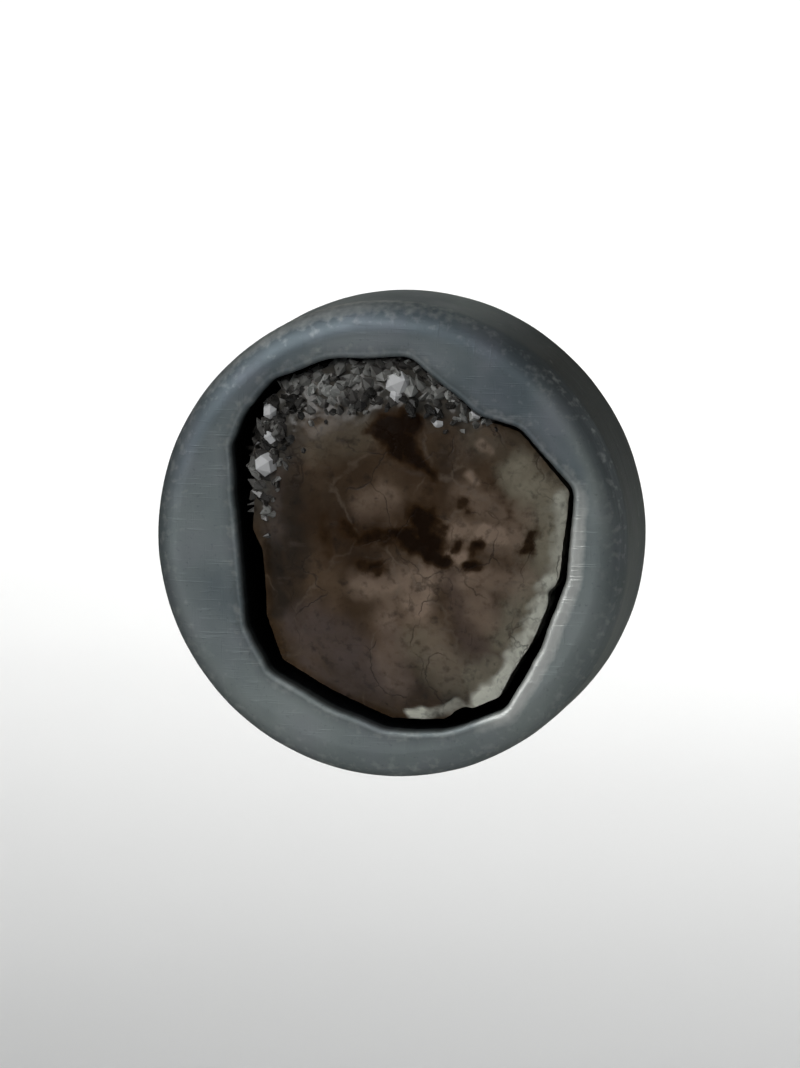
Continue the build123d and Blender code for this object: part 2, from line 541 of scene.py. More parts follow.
def weather(points):
    """Chips and hollows: shallow on the polished table, coarse on the broken sides and crust."""
    crust = crust_share(points)
    side = ease(points[:, 1], table + 0.25, rim + 0.15)
    hollow = HOLLOW_BROAD * (1 + bumps(points, 0.7, 11))
    hollow += HOLLOW_FINE * (1 + bumps(points, 2.2, 12))
    coarse = 0.5 + 0.5 * bumps(points, 3.2, 13) + 0.3 * np.abs(bumps(points, 7.5, 14))
    sink = hollow + crust * (CRUST_PITS * np.clip(coarse, 0, 1.4) - CRUST_LIFT)
    chip = CHIP_BROAD * np.abs(bumps(points, 1.8, 15)) + CHIP_FINE * np.abs(bumps(points, 5.0, 16))
    spread = np.maximum(round_axis(points)[0], 1e-6)
    inward = np.stack([points[:, 0] / spread, 0 * spread, points[:, 2] / spread], axis=1)
    moved = points - inward * (side * chip + NOTCH_CUT * marked(points, "notch"))[:, None]
    top = points[:, 1] < rim + 0.02
    moved[:, 1] += np.where(top, sink + CRACK_SINK * marked(points, "crack"), 0)
    return moved


# %% Marks in the stone
STONE_MARKS = {
    # each mark: from x, from z, to x, to z, half width, strength
    "crack": [
        (0.0, 2.24, 0.5, 2.24, 0.16, 1.0), (-0.08, 2.08, 0.26, 1.74, 0.18, 1.0),
        (0.22, 2.02, 0.46, 1.86, 0.14, 1.0), (0.45, 1.9, 0.62, 1.55, 0.11, 1.0),
        (0.64, 1.5, 0.95, 1.24, 0.06, 0.8), (0.9, 1.1, 0.8, 0.65, 0.1, 0.25),
        (0.66, 0.52, 0.85, 0.0, 0.2, 1.0), (0.5, 0.24, -0.5, 0.06, 0.1, 0.8),
        (0.35, 0.1, 1.05, -0.28, 0.12, 1.0), (0.8, 0.45, 1.1, 0.3, 0.07, 0.6),
        (-0.55, 0.05, -0.8, 0.32, 0.05, 0.6), (-0.5, -0.45, -0.1, -0.43, 0.08, 0.65),
        (1.5, -0.4, 1.68, -0.33, 0.06, 1.0), (1.66, -0.08, 1.82, 0.02, 0.05, 0.8),
        (1.35, 0.02, 1.3, -0.08, 0.04, 0.7), (1.45, 0.78, 1.52, 0.72, 0.06, 0.6),
        (2.74, 0.32, 2.62, -0.05, 0.05, 0.65), (-1.2, 0.45, -1.1, -0.2, 0.04, 0.4),
        (2.0, 1.2, 2.4, 0.55, 0.04, 0.3),
    ],
    "stain": [
        (0.3, 0.4, -0.9, 0.15, 0.38, 0.8), (-1.3, 0.45, -1.0, -0.25, 0.28, 0.7),
        (0.55, 1.3, 0.95, 0.8, 0.28, 0.7), (-0.7, -0.45, 0.1, -0.48, 0.2, 0.6),
        (0.1, 1.6, -0.6, 1.2, 0.26, 0.4), (1.95, 0.72, 2.35, 0.62, 0.14, 0.25),
        (-0.75, -1.15, -0.2, -1.12, 0.1, 0.3), (0.58, -0.76, 0.56, -0.92, 0.05, 0.4),
    ],
    "cloud": [
        (0.55, -0.7, 0.6, -1.15, 0.26, 1.0), (0.8, -0.85, 0.66, -1.25, 0.08, 1.3),
        (-0.3, 0.72, -0.05, 0.78, 0.26, 0.6), (1.3, 0.25, 2.4, 0.12, 0.22, 0.75),
        (1.9, 0.24, 2.2, 0.15, 0.14, 1.4), (1.2, -0.2, 1.4, -0.25, 0.08, 1.4),
        (1.58, 1.32, 1.68, 1.22, 0.03, 0.9), (1.8, 1.96, 1.94, 1.86, 0.02, 0.6),
        (-0.45, -0.72, 0.8, -0.62, 0.22, 0.9), (1.75, -1.0, 1.9, -1.4, 0.2, 0.6),
        (0.05, -2.1, 0.15, -2.6, 0.24, 0.35), (0.9, -1.6, 1.2, -2.3, 0.25, 0.25),
        (0.05, -0.6, 0.05, -1.4, 0.28, 0.5), (1.6, 0.9, 2.5, 0.5, 0.26, 0.5),
        (1.6, -0.6, 2.45, -0.65, 0.24, 0.65),
    ],
    "plum": [
        (-1.3, -1.65, -0.2, -2.5, 0.45, 0.8), (0.1, -1.6, 0.2, -2.7, 0.22, 0.6),
        (1.22, -0.6, 1.62, -1.75, 0.16, 0.5), (1.62, -1.75, 1.95, -2.4, 0.16, 0.6),
        (-2.2, 1.2, -2.2, 0.2, 0.16, 0.5), (-1.78, -1.62, -1.45, -2.0, 0.22, 0.7),
        (-1.6, -2.3, -0.7, -2.85, 0.12, 0.6),
    ],
    # grey-green of the stone; the three rows along the right rim are partly a painted halo
    "moss": [
        (0.7, -1.9, 1.45, -2.6, 0.4, 0.42), (1.6, -2.55, 1.85, -2.35, 0.22, 0.8),
        (2.5, 1.35, 2.9, 0.9, 0.34, 0.95), (2.98, 0.8, 3.02, -0.5, 0.34, 0.95),
        (2.66, -0.8, 2.3, -1.8, 0.32, 0.85), (-1.3, 1.8, -0.4, 2.1, 0.3, 0.2),
        (1.7, 2.0, 2.4, 1.8, 0.2, 0.15),
    ],
    "shade": [
        (-1.85, 1.75, -1.75, -0.4, 0.3, 0.9), (-2.25, -0.1, -2.05, -1.3, 0.2, 1.0),
        (-1.35, 1.0, -1.25, 0.5, 0.25, 0.3), (-1.82, -0.6, -1.75, -1.5, 0.24, 0.55),
        (1.25, 1.95, 2.1, 1.95, 0.2, 0.45), (1.05, -2.98, 1.35, -2.95, 0.08, 0.6),
    ],
    # painted light: the thin rim at the lower right, painted pale where light would pass through
    "pale": [
        (3.2, 0.9, 3.24, -0.4, 0.1, 0.6), (3.05, -0.6, 2.95, -0.78, 0.11, 0.9),
        (2.9, -1.05, 2.7, -1.62, 0.1, 1.1), (2.64, -1.7, 2.28, -2.25, 0.08, 1.0),
        (2.22, -2.35, 1.98, -2.8, 0.08, 1.3), (1.96, -2.78, 1.82, -2.92, 0.14, 1.8),
        (1.7, -3.05, 0.8, -3.24, 0.03, 0.5), (0.66, -3.22, 0.48, -3.25, 0.05, 1.4),
    ],
    # painted shade on the crust's crystals
    "gloom": [
        (0.35, 2.58, 0.95, 2.48, 0.12, 1.0), (-1.85, 2.45, -1.7, 1.6, 0.18, 1.1),
        (-2.55, 1.95, -2.45, 1.75, 0.14, 1.2), (-0.6, 2.65, 0.0, 2.7, 0.1, 0.7),
        (0.6, 3.12, 0.64, 3.08, 0.05, 0.8),
    ],
    # painted light on the crust's crystals
    "lit": [
        (-1.5, 2.7, -1.05, 2.85, 0.14, 1.0), (-0.65, 3.05, -0.45, 3.1, 0.12, 0.9),
        (-0.05, 3.05, 0.3, 2.9, 0.14, 1.5), (-0.45, 2.5, -0.3, 2.45, 0.1, 0.8),
        (-2.1, 2.6, -2.25, 2.3, 0.12, 0.5), (0.45, 3.2, 1.15, 2.85, 0.16, 0.8),
        (1.1, 2.7, 1.8, 2.45, 0.16, 0.9), (-2.38, 0.45, -2.34, 0.3, 0.06, 0.9),
    ],
    "notch": [
        (3.2, -0.92, 3.12, -0.98, 0.06, 0.6), (1.2, -3.18, 1.4, -3.18, 0.08, 0.5),
    ],
}


MARK_STRAY = 0.10  # how far the marks' edges wander
MARK_FADE = 0.12


def marked(points, kind):
    """How strongly each point is marked by one kind: most in a mark's middle, 0 away from it."""
    place = points[:, [0, 2]]
    stray = np.stack([bumps(points, 1.6, 31), bumps(points, 1.6, 32)], axis=1) * MARK_STRAY
    stray += np.stack([bumps(points, 5.0, 33), bumps(points, 5.0, 34)], axis=1) * MARK_STRAY
    total = np.zeros(len(points))
    for x, z, to_x, to_z, half, strength in STONE_MARKS[kind]:
        start, along = np.array([x, z]), np.array([to_x - x, to_z - z])
        share = np.clip((place + stray - start) @ along / (along @ along), 0, 1)
        away = np.linalg.norm(place + stray - start - share[:, None] * along, axis=1)
        fade = 1 - ease(away, 0.3 * half, 1.5 * half + MARK_FADE)
        total = np.maximum(total, strength * fade)
    return total


# %% Make the stone
def make_stone():
    """The stone's mesh, with seven kinds of mark and the crust stored on its points."""
    points, faces = skin(stone_rings())
    kinds = ("crack", "stain", "cloud", "plum", "moss", "shade", "pale")
    values = {kind: marked(points, kind) for kind in kinds}
    values["crust"] = crust_share(points)
    piece = make_piece("smoky_stone", weather(points), faces, values)
    smooth(piece, 60)
    return piece


smoky_stone = make_stone()
mark_count = sum(len(marks) for marks in STONE_MARKS.values())
print(f"stone: {len(smoky_stone.data.polygons)} faces, {mark_count} marks")

# %% [markdown]
# ## Building node trees
#
# Both the crystals' shape and every finish are trees of nodes. Writing each node out takes four
# or five lines, so one helper adds a node, sets its options and fills its inputs. An input is
# given either a plain value or another node's socket. The tree that is being built lies on a
# bench, where the helpers find it, so that no call has to name it.

# %% Helpers for node trees
class Bench:
    """The tree that is being built, and the place in millimetres that its patterns follow."""

    tree = None
    place = None


def fill(node, inputs):
    """Gives each input of a node a value, or a link where another node's socket is given."""
    for socket, value in inputs.items():
        if isinstance(value, bpy.types.NodeSocket):
            Bench.tree.links.new(value, node.inputs[socket])
        else:
            node.inputs[socket].default_value = value


def put(kind, inputs=None, **options):
    """Adds a node with its options and inputs."""
    made = Bench.tree.nodes.new(kind)
    for option, value in options.items():
        setattr(made, option, value)
    fill(made, inputs or {})
    return made


def calc(operation, *values):
    """The result of a maths node on one to three values or sockets."""
    return put("ShaderNodeMath", dict(enumerate(values)), operation=operation).outputs[0]


def scaled(vector, factor):
    """A vector made longer by the factor."""
    inputs = {0: vector, "Scale": factor}
    return put("ShaderNodeVectorMath", inputs, operation="SCALE").outputs[0]


print("node helpers ready")

# %% [markdown]
# ## Materials: shared parts
#
# Each finish starts from the position on the object, counted in millimetres, so that a pattern
# with two waves per millimetre looks the same on every piece. Noise, a colour ramp and the
# values stored on the mesh are then mixed. Values that stay the same all over are set on the
# shader itself.

# %% Helpers for materials
def start_material(name):
    """A material and its shader, with its tree and its place in millimetres on the bench."""
    material = bpy.data.materials.new(name)
    material.use_nodes = True
    Bench.tree = material.node_tree
    Bench.place = scaled(put("ShaderNodeTexCoord").outputs["Object"], 1 / MM)
    return material, Bench.tree.nodes["Principled BSDF"]


def cloudy(per_mm, detail=3.0, stretch=(1, 1, 1), turn=(0, 0, 0), place=None):
    """Soft noise with per_mm waves a millimetre, which may be stretched and turned."""
    place = place or Bench.place
    if stretch != (1, 1, 1) or turn != (0, 0, 0):
        inputs = {"Vector": place, "Scale": stretch, "Rotation": turn}
        place = put("ShaderNodeMapping", inputs).outputs[0]
    inputs = {"Vector": place, "Scale": per_mm, "Detail": detail}
    return put("ShaderNodeTexNoise", inputs).outputs["Fac"]


def ramp(amount, stops):
    """A colour ramp from a list of (position, colour)."""
    made = put("ShaderNodeValToRGB", {"Fac": amount})
    elements = made.color_ramp.elements
    while len(elements) < len(stops):
        elements.new(0.5)
    for element, (position, colour) in zip(elements, stops):
        element.position = position
        element.color = (*colour, 1)
    return made.outputs["Color"]


def stretch_range(amount, low, high, to_low=0.0, to_high=1.0):
    """The amount moved from the range low to high into the range to_low to to_high."""
    inputs = {"Value": amount, "From Min": low, "From Max": high,
              "To Min": to_low, "To Max": to_high}
    return put("ShaderNodeMapRange", inputs, clamp=True).outputs["Result"]


def layered(colour, *layers):
    """A colour with others laid over it in turn, each by an amount from 0 to 1."""
    for amount, over in layers:
        inputs = {0: amount, 6: colour, 7: (*over, 1)}
        colour = put("ShaderNodeMix", inputs, data_type="RGBA").outputs[2]
    return colour


def stored(label):
    """A value that the mesh's points carry."""
    return put("ShaderNodeAttribute", attribute_name=label).outputs["Fac"]


def relief(shader, height, depth_mm):
    """Turns a height into fine relief on the shader's normal."""
    inputs = {"Height": height, "Distance": depth_mm * MM, "Strength": 1.0}
    fill(shader, {"Normal": put("ShaderNodeBump", inputs).outputs[0]})


print("material helpers ready")

# %% [markdown]
# ## Darkened silver
#
# Silver is darkened with a sulphur bath and then rubbed back. The face keeps a blue-grey film
# that varies a little in tone, the pocket stays nearly black, and the edges show brighter
# metal. Painted light and shade are laid into the film as well: paler and darker patches on the
# face and its front edge, painted shade on the side, and a painted highlight along the mouth's
# right and lower right edge. Fine scratches run in several directions, left by wearing. The film
# is built as colour on a metallic shader, because on real pieces it is far too thin to hide the
# metal's shine.

# %% The darkened silver
def make_darkened_silver():
    """Blue-grey sulphide over satin silver, black in recesses, brighter on rubbed edges, with
    painted light and shade.
    """
    material, shader = start_material("darkened_silver")
    # random tone of the film, plus the painted light and shade stored as film
    broad = calc("ADD", cloudy(0.55, 4), stored("film"))
    film = ramp(broad, [(0.15, (0.185, 0.225, 0.248)), (0.50, (0.318, 0.364, 0.370)),
                              (0.90, (0.480, 0.535, 0.520))])
    tint = stretch_range(cloudy(1.1, 2), 0.45, 0.75, 0.0, 0.35)
    speck = stretch_range(cloudy(14.0, 4), 0.62, 0.74, 0.0, 0.35)
    round_way = cloudy(1.0, 3, (0.8, 26, 0.8))
    streaky = calc("MULTIPLY_ADD", round_way, 0.5, 0.62)
    # painted shade on the side and the rounded front edge, streaked round the disc
    wall = calc("MULTIPLY", stored("wall"), streaky)
    patchy = calc("MULTIPLY_ADD", cloudy(6.0, 6), 0.7, -0.35)
    # rubbed metal, and the painted highlight along the mouth's right and lower right
    worn_and_highlit = stretch_range(calc("ADD", stored("wear_and_highlight"), patchy), 0.10, 0.80)
    dark = stored("recess")
    film = layered(film,
                   (tint, (0.305, 0.312, 0.370)),
                   (speck, (0.15, 0.17, 0.18)),
                   # the colour of the painted shade
                   (wall, (0.100, 0.112, 0.114)),
                   # rubbed metal and the painted highlight
                   (worn_and_highlit, (0.92, 0.94, 0.90)),
                   (dark, (0.010, 0.011, 0.012)))
    rough = calc("MULTIPLY_ADD", cloudy(3.0, 4), 0.12, 0.49)
    for amount, change in ((worn_and_highlit, -0.14), (stored("wall"), 0.06), (dark, 0.30)):
        rough = calc("MULTIPLY_ADD", amount, change, rough)
    fill(shader, {"Base Color": film, "Roughness": rough, "Metallic": 1.0,
                        "Specular Tint": (0.30, 0.27, 0.23, 1)})
    one_way = cloudy(1.0, 2, (1.5, 1.5, 38), (0, 0.5, 0))
    other_way = cloudy(1.0, 2, (30, 1.5, 1.5), (0, 1.1, 0))
    lines = calc("ADD", stretch_range(one_way, 0.58, 0.72),
                 stretch_range(other_way, 0.60, 0.74))
    turned = calc("MULTIPLY", stretch_range(round_way, 0.35, 0.65), wall)
    lines = calc("ADD", lines, turned)
    height = calc("MULTIPLY_ADD", cloudy(22.0, 3), 0.6, lines)
    relief(shader, height, 0.0018)
    return material


darkened_silver = make_darkened_silver()
silver_setting.data.materials.append(darkened_silver)
print("finish:", darkened_silver.name)

# %% [markdown]
# ## Smoky stone
#
# The colour lies inside the stone, under a polished skin, so the shader has a mottled, slightly
# clouded body and a clear coat with its own sharp shine, which the cracks don't have. The stored
# marks steer the colour: cracks are stained dark brown, clouds are paler and warmer, and the right
# side goes grey-green, partly as a painted halo. The thin rim at the lower right is painted pale,
# as painted light passing through, and `shade` is painted shade on the steep left side.

# %% The smoky stone
STONE_TINTS = [
    # mark, amount, colour
    ("shade", 0.75, (0.014, 0.010, 0.007)),
    ("plum", 0.75, (0.130, 0.096, 0.086)),
    # grey-green, partly a painted halo along the right rim
    ("moss", 0.92, (0.330, 0.297, 0.218)),
    ("cloud", 0.85, (0.370, 0.270, 0.198)),
    ("crust", 0.85, (0.080, 0.078, 0.068)),
    ("stain", 0.75, (0.042, 0.019, 0.006)),
    # painted light passing through the rim
    ("pale", 1.00, (0.970, 0.970, 0.830)),
]


def hair_lines(per_mm, width, turn=0.0):
    """Thin wandering lines of old breaks, 1 on a line, that show only here and there."""
    inputs = {"Vector": Bench.place, "Scale": 1.7, "Detail": 4.0}
    stray = put("ShaderNodeTexNoise", inputs).outputs["Color"]
    inputs = {0: stray, 1: (0.9, 0.9, 0.9), 2: Bench.place}
    place = put("ShaderNodeVectorMath", inputs, operation="MULTIPLY_ADD").outputs[0]
    inputs = {"Vector": place, "Location": (turn, turn, turn), "Scale": (1.0, 1.0, 0.7)}
    place = put("ShaderNodeMapping", inputs).outputs[0]
    inputs = {"Vector": place, "Scale": per_mm}
    edge = put("ShaderNodeTexVoronoi", inputs, feature="DISTANCE_TO_EDGE").outputs["Distance"]
    here = stretch_range(cloudy(1.1, 3, place=place), 0.46, 0.58)
    return calc("MULTIPLY", stretch_range(edge, 0.0, width, 1.0, 0.0), here)


def make_smoky():
    """Mottled brown with stained cracks, cloudy patches and a pale rim of painted light, under a
    clear polish.
    """
    material, shader = start_material("smoky_crystal")
    mottle = cloudy(0.9, 6)
    body = ramp(mottle, [(0.25, (0.026, 0.014, 0.007)), (0.48, (0.068, 0.041, 0.021)),
                               (0.62, (0.112, 0.071, 0.041)), (0.80, (0.165, 0.110, 0.068))])
    broken = calc("MULTIPLY_ADD", cloudy(3.0, 6), 0.9, -0.45)
    tints = []
    for label, amount, colour in STONE_TINTS:
        mark = stored(label)
        strength = calc("ADD", mark, calc("MULTIPLY", broken, mark))
        tints.append((stretch_range(strength, 0.0, 1.0, 0.0, amount), colour))
    flecks = stretch_range(cloudy(5.0, 6), 0.56, 0.72, 0.0, 0.55)
    threads = cloudy(2.2, 5, (1, 1, 3), (0, 0.8, 0))
    hairs = hair_lines(1.3, 0.030)
    veils = hair_lines(0.8, 0.045, 5.0)
    crack = stored("crack")
    edge = calc("MULTIPLY_ADD", cloudy(7.0, 8), 0.9, -0.15)
    edge = calc("ADD", edge, crack)
    body = layered(body, *tints,
                   (flecks, (0.009, 0.005, 0.003)),
                   (stretch_range(threads, 0.60, 0.72, 0.0, 0.35), (0.095, 0.072, 0.058)),
                   (calc("MULTIPLY", hairs, 0.65), (0.016, 0.009, 0.005)),
                   (calc("MULTIPLY", veils, 0.35), (0.210, 0.165, 0.125)),
                   (stretch_range(edge, 0.34, 0.85, 0.0, 0.9), (0.040, 0.0180, 0.0045)),
                   (stretch_range(edge, 0.70, 1.18), (0.0115, 0.0040, 0.0002)))
    rough = calc("MULTIPLY_ADD", cloudy(4.0, 3), 0.24, 0.24)
    rough = calc("MULTIPLY_ADD", crack, 0.15, rough)
    polish = calc("MAXIMUM", calc("MULTIPLY_ADD", crack, -0.9, 0.55), 0.0)
    fill(shader, {"Base Color": body, "Roughness": rough, "IOR": 1.54,
                        "Specular IOR Level": 0.08, "Coat Weight": polish,
                        "Coat Roughness": 0.10, "Coat IOR": 1.5})
    inputs = {"Vector": Bench.place, "Scale": 4.5}
    cells = put("ShaderNodeTexVoronoi", inputs).outputs["Distance"]
    height = calc("MULTIPLY_ADD", cells, 0.5, cloudy(5.0, 6))
    relief(shader, calc("MULTIPLY_ADD", hairs, -0.4, height), 0.022)
    return material


smoky_crystal = make_smoky()
smoky_stone.data.materials.append(smoky_crystal)
print("finish:", smoky_crystal.name)

# %% [markdown]
# ## The crust of crystals
#
# Along the top and upper left the stone keeps its natural skin of tiny quartz points. There are
# hundreds, all alike but for size and lean, so they are scattered by a Geometry Nodes tree on a
# strip of the stone's own surface. Each is a short six-sided column with a point. The tree ends
# by making the copies real and giving them their material. The nut's tree starts and ends in the
# same way, so those parts are helpers.

# %% The strip that the crystals stand on
CRUST_DEPTH = 0.2  # how far it reaches down the broken side
CRUST_LEAST = 0.03  # least crust value in the strip


def crust_strip():
    """The faces of the stone that lie in its crust, as an object of their own."""
    mesh = smoky_stone.data
    crust = np.zeros(len(mesh.vertices), np.float32)
    mesh.attributes["crust"].data.foreach_get("value", crust)
    kept = [f for f in mesh.polygons if min(crust[v] for v in f.vertices) > CRUST_LEAST]
    kept = [f for f in kept if f.center.y / MM < rim + CRUST_DEPTH]
    used = sorted({v for f in kept for v in f.vertices})
    place = {v: i for i, v in enumerate(used)}
    points = [mesh.vertices[v].co / MM for v in used]
    faces = [[place[v] for v in f.vertices] for f in kept]
    places = np.array([tuple(point) for point in points])
    values = {"crust": crust[used], "gloom": marked(places, "gloom"), "lit": marked(places, "lit")}
    return make_piece("crystal_crust", points, faces, values)


crystal_crust = crust_strip()
print(f"crust strip: {len(crystal_crust.data.polygons)} faces")


# %% Helpers for Geometry Nodes
def new_tree(name, inputs):
    """Puts a tree on the bench that takes geometry, the inputs by name and kind, and a finish."""
    Bench.tree = bpy.data.node_groups.new(name, "GeometryNodeTree")
    sockets = Bench.tree.interface
    for label, kind in {"Geometry": "Geometry", **inputs, "Finish": "Material"}.items():
        sockets.new_socket(label, in_out="INPUT", socket_type="NodeSocket" + kind)
    sockets.new_socket("Geometry", in_out="OUTPUT", socket_type="NodeSocketGeometry")
    return put("NodeGroupInput").outputs


def real_copies(geometry):
    """The geometry with its copies made real."""
    return put("GeometryNodeRealizeInstances", {0: geometry}).outputs[0]


def end_tree(geometry, finish):
    """Gives the geometry its finish, and gives back the tree that ends with it."""
    finished = put("GeometryNodeSetMaterial", {0: geometry, "Material": finish})
    put("NodeGroupOutput", {0: finished.outputs[0]})
    return Bench.tree


def vector(x=0.0, y=0.0, z=0.0):
    """A vector from three values or sockets."""
    return put("ShaderNodeCombineXYZ", {0: x, 1: y, 2: z}).outputs[0]


def position():
    """The three parts of each point's position."""
    place = put("GeometryNodeInputPosition").outputs[0]
    return put("ShaderNodeSeparateXYZ", {0: place}).outputs


def moved(geometry, **how):
    """The geometry with a translation, rotation or scale."""
    return put("GeometryNodeTransform", {"Geometry": geometry, **how}).outputs[0]


def random_value(geometry, label, domain, seed):
    """Stores a random value from 0 to 1 on each copy or face of the geometry."""
    chance = put("FunctionNodeRandomValue", {"Seed": seed}, data_type="FLOAT").outputs[1]
    inputs = {"Geometry": geometry, "Name": label, "Value": chance}
    options = {"data_type": "FLOAT", "domain": domain}
    return put("GeometryNodeStoreNamedAttribute", inputs, **options).outputs[0]


print("geometry helpers ready")


# %% The tree that grows the crystals
CRYSTAL_LENGTH = 2.8  # of the column, in its radii
CRYSTAL_POINT = 0.10  # how wide the tip is, as a share of the column
SMALLEST, LARGEST = (0.4, 0.4, 0.5), (1.25, 1.25, 1.25)  # scales of width, width and length


def crystal_tree():
    """Scatters leaning six-sided crystals on a surface."""
    inputs = {"Per square metre": "Float", "Column radius": "Float", "Lean": "Float", "Seed": "Int"}
    given = new_tree("grow crystals", inputs)
    inputs = {"Name": "crust"}
    crust = put("GeometryNodeInputNamedAttribute", inputs, data_type="FLOAT").outputs[0]
    density = calc("MULTIPLY", given["Per square metre"], crust)
    scatter = {"Mesh": given["Geometry"], "Density": density, "Seed": given["Seed"]}
    spots = put("GeometryNodeDistributePointsOnFaces", scatter, distribute_method="RANDOM")
    length = calc("MULTIPLY", given["Column radius"], CRYSTAL_LENGTH)
    shape = {"Vertices": 6, "Side Segments": 2, "Fill Segments": 1,
             "Radius": given["Column radius"], "Depth": length}
    column = put("GeometryNodeMeshCylinder", shape).outputs["Mesh"]
    spot = position()
    at_tip = calc("GREATER_THAN", spot[2], calc("MULTIPLY", length, 0.4))
    narrow = [calc("MULTIPLY", spot[i], CRYSTAL_POINT) for i in (0, 1)]
    inputs = {"Geometry": column, "Selection": at_tip, "Position": vector(*narrow, spot[2])}
    pointed = put("GeometryNodeSetPosition", inputs).outputs[0]
    lean = vector(given["Lean"], given["Lean"], math.pi)
    inputs = {0: scaled(lean, -1.0), 1: lean, "Seed": given["Seed"]}
    turn = put("FunctionNodeRandomValue", inputs, data_type="FLOAT_VECTOR").outputs[0]
    local = put("FunctionNodeEulerToRotation", {0: turn}).outputs[0]
    inputs = {"Rotation": spots.outputs["Rotation"], "Rotate By": local}
    facing = put("FunctionNodeRotateRotation", inputs, rotation_space="LOCAL").outputs[0]
    inputs = {0: SMALLEST, 1: LARGEST, "Seed": calc("ADD", given["Seed"], 7.0)}
    size = put("FunctionNodeRandomValue", inputs, data_type="FLOAT_VECTOR").outputs[0]
    growth = calc("MULTIPLY_ADD", crust, 0.6, 0.4)
    inputs = {"Points": spots.outputs["Points"], "Instance": pointed,
              "Rotation": facing, "Scale": scaled(size, growth)}
    placed = put("GeometryNodeInstanceOnPoints", inputs).outputs[0]
    placed = random_value(placed, "tone", "INSTANCE", calc("ADD", given["Seed"], 3.0))
    real = real_copies(placed)
    real = random_value(real, "facet", "FACE", calc("ADD", given["Seed"], 5.0))
    return end_tree(real, given["Finish"])


# %% The crystals' finish
def make_druse():
    """Grey, glassy quartz whose crystals and facets differ, painted nearly white as a highlight
    where it flashes.
    """
    material, shader = start_material("grey_druse")
    amount = calc("MULTIPLY", cloudy(1.6, 3), 0.5)
    # random tone and facets, with painted light from lit and painted shade from gloom
    for label, weight in (("tone", 0.30), ("facet", 0.18), ("lit", 0.20), ("gloom", -0.22)):
        amount = calc("MULTIPLY_ADD", stored(label), weight, amount)
    colour = ramp(amount, [(0.28, (0.029, 0.027, 0.024)), (0.46, (0.118, 0.110, 0.101)),
                                 (0.60, (0.285, 0.281, 0.263)), (0.80, (0.600, 0.606, 0.578))])
    # painted highlight: the flashing facets laid nearly white
    colour = layered(colour, (stored("glint"), (0.86, 0.88, 0.86)))
    fill(shader, {"Base Color": colour, "Roughness": 0.12, "IOR": 1.54,
                        "Transmission Weight": 0.25})
    return material


grey_druse = make_druse()


# %% Grow the crystals and keep them as a plain mesh
def apply_tree(piece, tree, settings):
    """Runs a tree on a piece with named settings and keeps the result as its mesh."""
    modifier = piece.modifiers.new(tree.name, "NODES")
    modifier.node_group = tree
    for item in tree.interface.items_tree:
        if item.in_out == "INPUT" and item.name in settings:
            modifier[item.identifier] = settings[item.name]
    bpy.context.view_layer.update()
    seen = piece.evaluated_get(bpy.context.evaluated_depsgraph_get())
    mesh = bpy.data.meshes.new_from_object(seen)
    piece.modifiers.remove(modifier)
    piece.data = mesh
    mesh.name = piece.name


apply_tree(crystal_crust, crystal_tree(), {
    "Per square metre": 48e6,
    "Column radius": 0.125 * MM,
    "Lean": 0.75,
    "Seed": 4,
    "Finish": grey_druse,
})
print(f"crystals: {len(crystal_crust.data.polygons)} faces")

# %% [markdown]
# A few larger crystals lie with one facet turned up and to the left, so they flash in the light,
# and that facet and its neighbours are also painted nearly white as a painted highlight, while
# the other crystals stay grey. Each is a six-sided column with a point, and is turned until a
# facet of its point faces that way. They are then joined to the crust's mesh.

# %% Larger crystals that flash
FLASH_FACING = Vector((-0.17, -0.88, 0.45)).normalized()
FLASHES = [
    # x, z, size, brightness of the painted highlight
    (-2.36, 1.38, 0.34, 1.0), (-2.26, 2.38, 0.22, 0.55), (0.22, 3.00, 0.36, 1.0),
    (0.16, 2.80, 0.20, 0.5), (-2.28, 1.95, 0.16, 0.35), (0.92, 2.26, 0.12, 0.4),
    (1.66, 2.46, 0.18, 0.25),
]
FLASH_RADIUS, FLASH_TIP = 0.62, 0.64  # as shares of the size
FLASH_FOOT, FLASH_SHOULDER = -0.9, 0.1
FLASH_SPIN = 1.1  # how far each is turned from the one before, in radians
FLASH_RAISED = 0.06  # how far it stands out of the crust, as a share of the size
FACET_GLINT = {0: 1.0, 1: 0.6, 5: 0.5}  # painted highlight on the facet towards the light and its neighbours
# painted highlight on the other facets
OTHER_GLINT = 0.15


def flash_crystal(x, z, size, spin):
    """Points and faces of a pointed crystal with its first upper facet towards the light."""
    corners = np.radians(np.arange(6) * 60 + 30)
    section = [(FLASH_RADIUS * math.cos(a), FLASH_RADIUS * math.sin(a)) for a in corners]
    levels = (FLASH_FOOT, FLASH_SHOULDER)
    points = [Vector((*corner, level)) * size for level in levels for corner in section]
    points.append(Vector((0, 0, FLASH_TIP)) * size)
    faces = [[6 + j, 6 + (j + 1) % 6, 12] for j in range(6)]
    faces += [[j, (j + 1) % 6, 6 + (j + 1) % 6, 6 + j] for j in range(6)]
    faces.append(list(range(5, -1, -1)))
    facet = [points[i] for i in faces[0]]
    facet_normal = (facet[1] - facet[0]).cross(facet[2] - facet[1]).normalized()
    turn = facet_normal.rotation_difference(FLASH_FACING).to_matrix()
    turn = Matrix.Rotation(spin, 3, FLASH_FACING) @ turn
    share = math.hypot(x, z) / reach_at(stone_outline, np.array([math.atan2(z, x)]))[0]
    height = np.interp(share, (TABLE_REACH, 1.0), (table, rim - CRUST_LIFT)) - FLASH_RAISED * size
    return [turn @ p + Vector((x, height, z)) for p in points], faces


